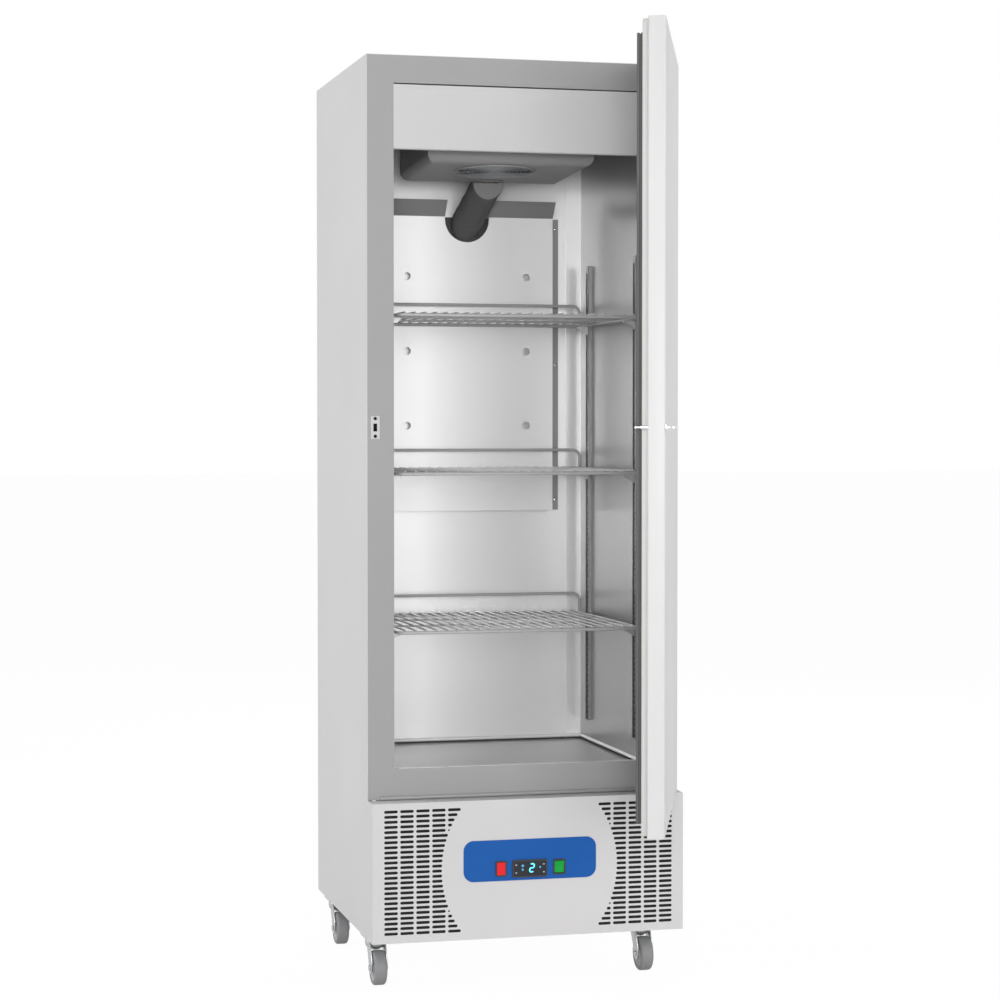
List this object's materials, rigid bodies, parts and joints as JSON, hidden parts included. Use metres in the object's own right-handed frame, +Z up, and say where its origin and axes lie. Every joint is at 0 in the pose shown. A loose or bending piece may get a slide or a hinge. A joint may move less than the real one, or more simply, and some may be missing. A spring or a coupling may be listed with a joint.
{
  "type": "commercial refrigerator",
  "caption": "One-door upright commercial refrigerator on castors, door open, wire shelves, ceiling evaporator, vented base with a blue control plate.",
  "frame": {"origin": "On the floor, under the middle of the whole outline with the door open as at rest. The middle of the cabinet's own plan lies 326 mm behind it along +Y.", "axes": "X to the right seen from the front, Y from the front to the back, Z up."},
  "size_m": [0.695, 1.2673, 2],
  "materials": {
    "side_steel": "satin",
    "frame_steel": "satin",
    "light_steel": "satin",
    "liner_steel": "gloss",
    "door_steel": "satin",
    "galvanised": "matte",
    "wire_coat": "satin",
    "cover_plastic": "matte",
    "foam": "matte",
    "sleeve_foam": "matte",
    "seal_rubber": "matte",
    "copper": "satin",
    "aluminium_fins": "satin",
    "black_plastic": "satin",
    "black_paint": "satin",
    "grey_plastic": "satin",
    "blue_plate": "satin",
    "display": "gloss",
    "red_plastic": "gloss",
    "green_plastic": "gloss",
    "zinc": "satin",
    "chrome": "gloss",
    "tread": "matte"
  },
  "bodies": {
    "cabinet": {"side_panel_left": "side_steel", "side_panel_right": "side_steel", "top_panel": "side_steel", "back_panel": "galvanised", "bottom_panel": "galvanised", "front_frame": "frame_steel", "inner_liner": "liner_steel", "insulation_foam": "foam", "fascia_panel": "light_steel", "sill_trim": "light_steel", "duct_panel": "light_steel", "panel_screws": "zinc", "pipe_sleeve": "sleeve_foam", "refrigerant_lines": "copper", "drain_hose": "grey_plastic", "evaporator_cover": "cover_plastic", "evaporator_coil": "aluminium_fins", "evaporator_fan_motor": "black_paint", "fan_guard": "black_paint", "shelf_pilasters": "light_steel", "shelf_clips": "zinc", "strike_plate": "chrome", "hinge_brackets": "zinc", "base_chassis": "galvanised", "base_front_panel": "light_steel", "rear_grille": "galvanised", "power_inlet": "black_plastic", "control_plate": "blue_plate", "controller_housing": "black_plastic", "controller_window": "display", "switch_bezels": "black_plastic", "castor_mounts": "zinc", "compressor": "black_paint", "condenser_coil": "aluminium_fins", "condenser_fan_motor": "black_paint", "melt_water_tray": "grey_plastic"},
    "door": {"door_outer_pan": "door_steel", "door_inner_pan": "liner_steel", "door_foam": "foam", "door_gasket": "seal_rubber", "door_hinge_bushes": "grey_plastic", "lock_escutcheon": "chrome"},
    "lock": {"lock_barrel": "chrome", "lock_key": "chrome"},
    "shelf_top": {"shelf_top": "wire_coat"},
    "shelf_middle": {"shelf_middle": "wire_coat"},
    "shelf_bottom": {"shelf_bottom": "wire_coat"},
    "red_button": {"red_button": "red_plastic"},
    "green_rocker": {"green_rocker": "green_plastic"},
    "evaporator_fan": {"evaporator_fan": "grey_plastic"},
    "condenser_fan": {"condenser_fan": "grey_plastic"},
    "castor_fork_front_left": {"castor_fork_front_left": "zinc"},
    "castor_wheel_front_left": {"castor_wheel_front_left": "tread"},
    "castor_fork_front_right": {"castor_fork_front_right": "zinc"},
    "castor_wheel_front_right": {"castor_wheel_front_right": "tread"},
    "castor_fork_rear_left": {"castor_fork_rear_left": "zinc"},
    "castor_wheel_rear_left": {"castor_wheel_rear_left": "tread"},
    "castor_fork_rear_right": {"castor_fork_rear_right": "zinc"},
    "castor_wheel_rear_right": {"castor_wheel_rear_right": "tread"}
  },
  "joints": [
    {"name": "door_hinge", "type": "hinge", "parent": "cabinet", "child": "door", "pos_m": [0.3116, -0.0094, 1.2], "axis": [0, 0, 1], "range_deg": [-69.6, 28]},
    {"name": "lock_turn", "type": "hinge", "parent": "door", "child": "lock", "pos_m": [0.11252, -0.61958, 1.2046], "axis": [-0.9373, 0.3486, 0], "range_deg": [0, 90]},
    {"name": "shelf_top_slide", "type": "slide", "parent": "cabinet", "child": "shelf_top", "axis": [0, -1, 0], "range_m": [0, 0.05]},
    {"name": "shelf_middle_slide", "type": "slide", "parent": "cabinet", "child": "shelf_middle", "axis": [0, -1, 0], "range_m": [0, 0.05]},
    {"name": "shelf_bottom_slide", "type": "slide", "parent": "cabinet", "child": "shelf_bottom", "axis": [0, -1, 0], "range_m": [0, 0.05]},
    {"name": "red_button_press", "type": "slide", "parent": "cabinet", "child": "red_button", "axis": [0, 1, 0], "range_m": [0, 0.0025], "stiffness_N_per_m": 400},
    {"name": "green_rocker_tilt", "type": "hinge", "parent": "cabinet", "child": "green_rocker", "pos_m": [0.0649, -0.029, 0.2534], "axis": [1, 0, 0], "range_deg": [-16, 0]},
    {"name": "evaporator_fan_spin", "type": "hinge", "parent": "cabinet", "child": "evaporator_fan", "pos_m": [-0.014, 0.23, 1.82], "axis": [0, 0, 1], "continuous": true},
    {"name": "condenser_fan_spin", "type": "hinge", "parent": "cabinet", "child": "condenser_fan", "pos_m": [-0.186, 0.063, 0.255], "axis": [0, 1, 0], "continuous": true},
    {"name": "castor_swivel_front_left", "type": "hinge", "parent": "cabinet", "child": "castor_fork_front_left", "pos_m": [-0.32, 0.074, 0.095], "axis": [0, 0, 1], "continuous": true},
    {"name": "castor_roll_front_left", "type": "hinge", "parent": "castor_fork_front_left", "child": "castor_wheel_front_left", "pos_m": [-0.32, 0.046, 0.0375], "axis": [1, 0, 0], "continuous": true},
    {"name": "castor_swivel_front_right", "type": "hinge", "parent": "cabinet", "child": "castor_fork_front_right", "pos_m": [0.28, 0.074, 0.095], "axis": [0, 0, 1], "continuous": true},
    {"name": "castor_roll_front_right", "type": "hinge", "parent": "castor_fork_front_right", "child": "castor_wheel_front_right", "pos_m": [0.28, 0.046, 0.0375], "axis": [1, 0, 0], "continuous": true},
    {"name": "castor_swivel_rear_left", "type": "hinge", "parent": "cabinet", "child": "castor_fork_rear_left", "pos_m": [-0.32, 0.514, 0.095], "axis": [0, 0, 1], "continuous": true},
    {"name": "castor_roll_rear_left", "type": "hinge", "parent": "castor_fork_rear_left", "child": "castor_wheel_rear_left", "pos_m": [-0.32, 0.486, 0.0375], "axis": [1, 0, 0], "continuous": true},
    {"name": "castor_swivel_rear_right", "type": "hinge", "parent": "cabinet", "child": "castor_fork_rear_right", "pos_m": [0.28, 0.514, 0.095], "axis": [0, 0, 1], "continuous": true},
    {"name": "castor_roll_rear_right", "type": "hinge", "parent": "castor_fork_rear_right", "child": "castor_wheel_rear_right", "pos_m": [0.28, 0.486, 0.0375], "axis": [1, 0, 0], "continuous": true}
  ]
}
